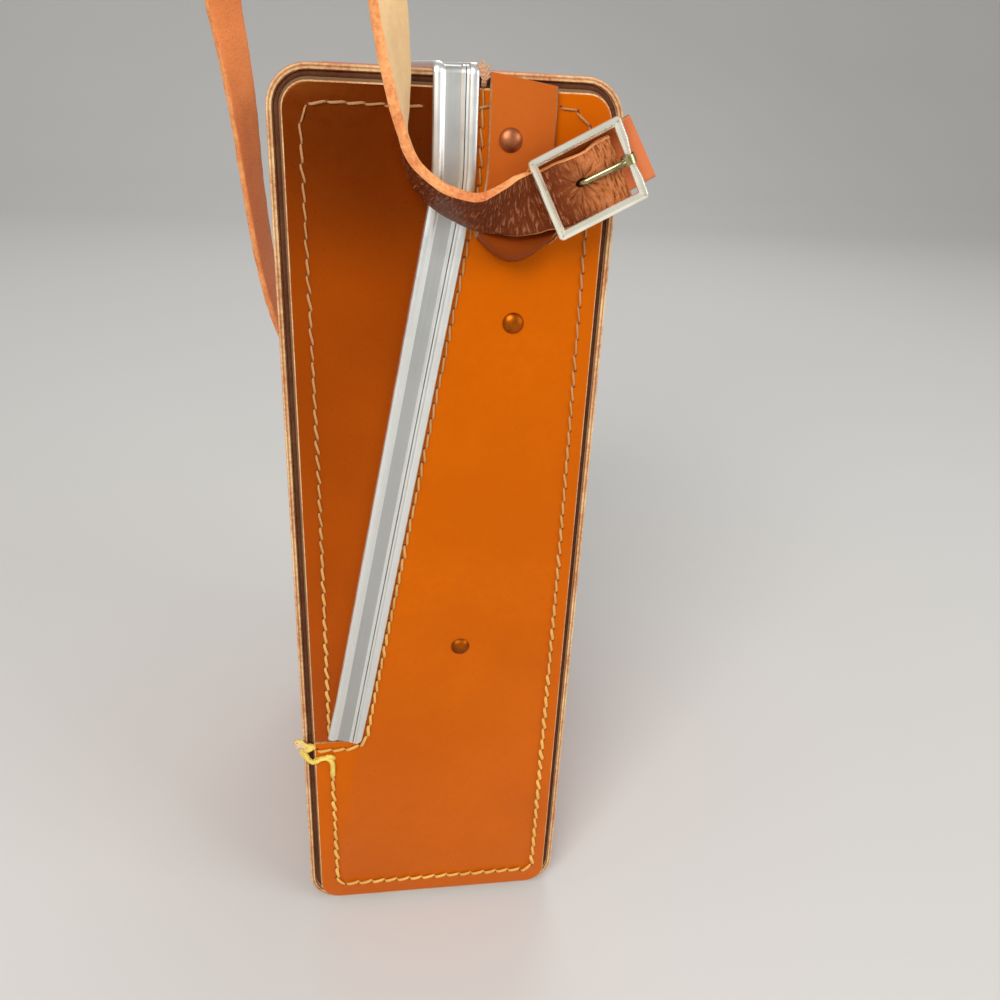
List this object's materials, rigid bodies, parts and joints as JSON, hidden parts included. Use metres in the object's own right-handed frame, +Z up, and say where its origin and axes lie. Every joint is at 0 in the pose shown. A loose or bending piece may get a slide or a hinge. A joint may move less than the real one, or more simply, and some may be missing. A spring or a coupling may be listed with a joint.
{
  "type": "camera case",
  "caption": "Tall rigid leather case with a drop-front lid, an aluminium-trimmed opening, sewn end panels and a buckled shoulder strap.",
  "frame": {"origin": "middle of the case's flat bottom face", "axes": "+Z up the case, the hinged lid on the -X side, the end with the buckle facing -Y"},
  "size_m": [0.1345, 0.206, 0.3827],
  "materials": {
    "tan_leather": "smooth dyed grain, satin",
    "panel_leather": "glossy orange-tan grain",
    "lug_leather": "smooth satin grain",
    "strap_leather": "worn grain over a pale flesh side",
    "case_board": "raw pressed board",
    "lining_fabric": "brushed brown cloth",
    "frame_aluminium": "light grey satin extrusion",
    "nickel": "worn pale nickel plate",
    "copper": "dull pinkish-brown copper",
    "spring_steel": "plain steel"
  },
  "bodies": {
    "case_body": {"body_wrap": "tan_leather", "hinge_strip": "tan_leather", "body_shell": "case_board", "body_lining": "lining_fabric", "body_end_board_near": "case_board", "body_end_board_far": "case_board", "body_end_panel_near": "panel_leather", "body_end_panel_far": "panel_leather", "body_frame": "frame_aluminium", "divider": "lining_fabric", "divider_rivets": "copper", "divider_washers": "copper", "strap_lug_near": "lug_leather", "strap_lug_far": "lug_leather", "lug_rivets": "copper", "lug_washers": "copper", "buckle_frame": "nickel", "shoulder_strap": "strap_leather", "strap_end_rivets": "copper", "catch_box": "frame_aluminium", "catch_plate": "nickel", "catch_rivets": "nickel", "bolt_spring": "spring_steel"},
    "lid": {"lid_wrap": "tan_leather", "lid_shell": "case_board", "lid_lining": "lining_fabric", "lid_end_board_near": "case_board", "lid_end_board_far": "case_board", "lid_end_panel_near": "panel_leather", "lid_end_panel_far": "panel_leather", "lid_frame": "frame_aluminium", "latch_hook": "nickel", "hook_rivets": "nickel"},
    "release": {"release_bolt": "spring_steel", "release_button": "nickel"},
    "prong": {"buckle_prong": "nickel"}
  },
  "joints": [
    {"name": "lid_hinge", "type": "hinge", "parent": "case_body", "child": "lid", "pos_m": [-0.0461, 0, 0.08], "axis": [0, -1, 0], "range_deg": [0, 100], "deforming": ["hinge_strip"]},
    {"name": "release_slide", "type": "slide", "parent": "case_body", "child": "release", "axis": [0, 1, 0], "range_m": [0, 0.005], "stiffness_N_per_m": 200, "deforming": ["bolt_spring"]},
    {"name": "prong_hinge", "type": "hinge", "parent": "case_body", "child": "prong", "pos_m": [0.04449, -0.09225, 0.27536], "axis": [-0.4695, 0, 0.8829], "range_deg": [0, 110]}
  ]
}
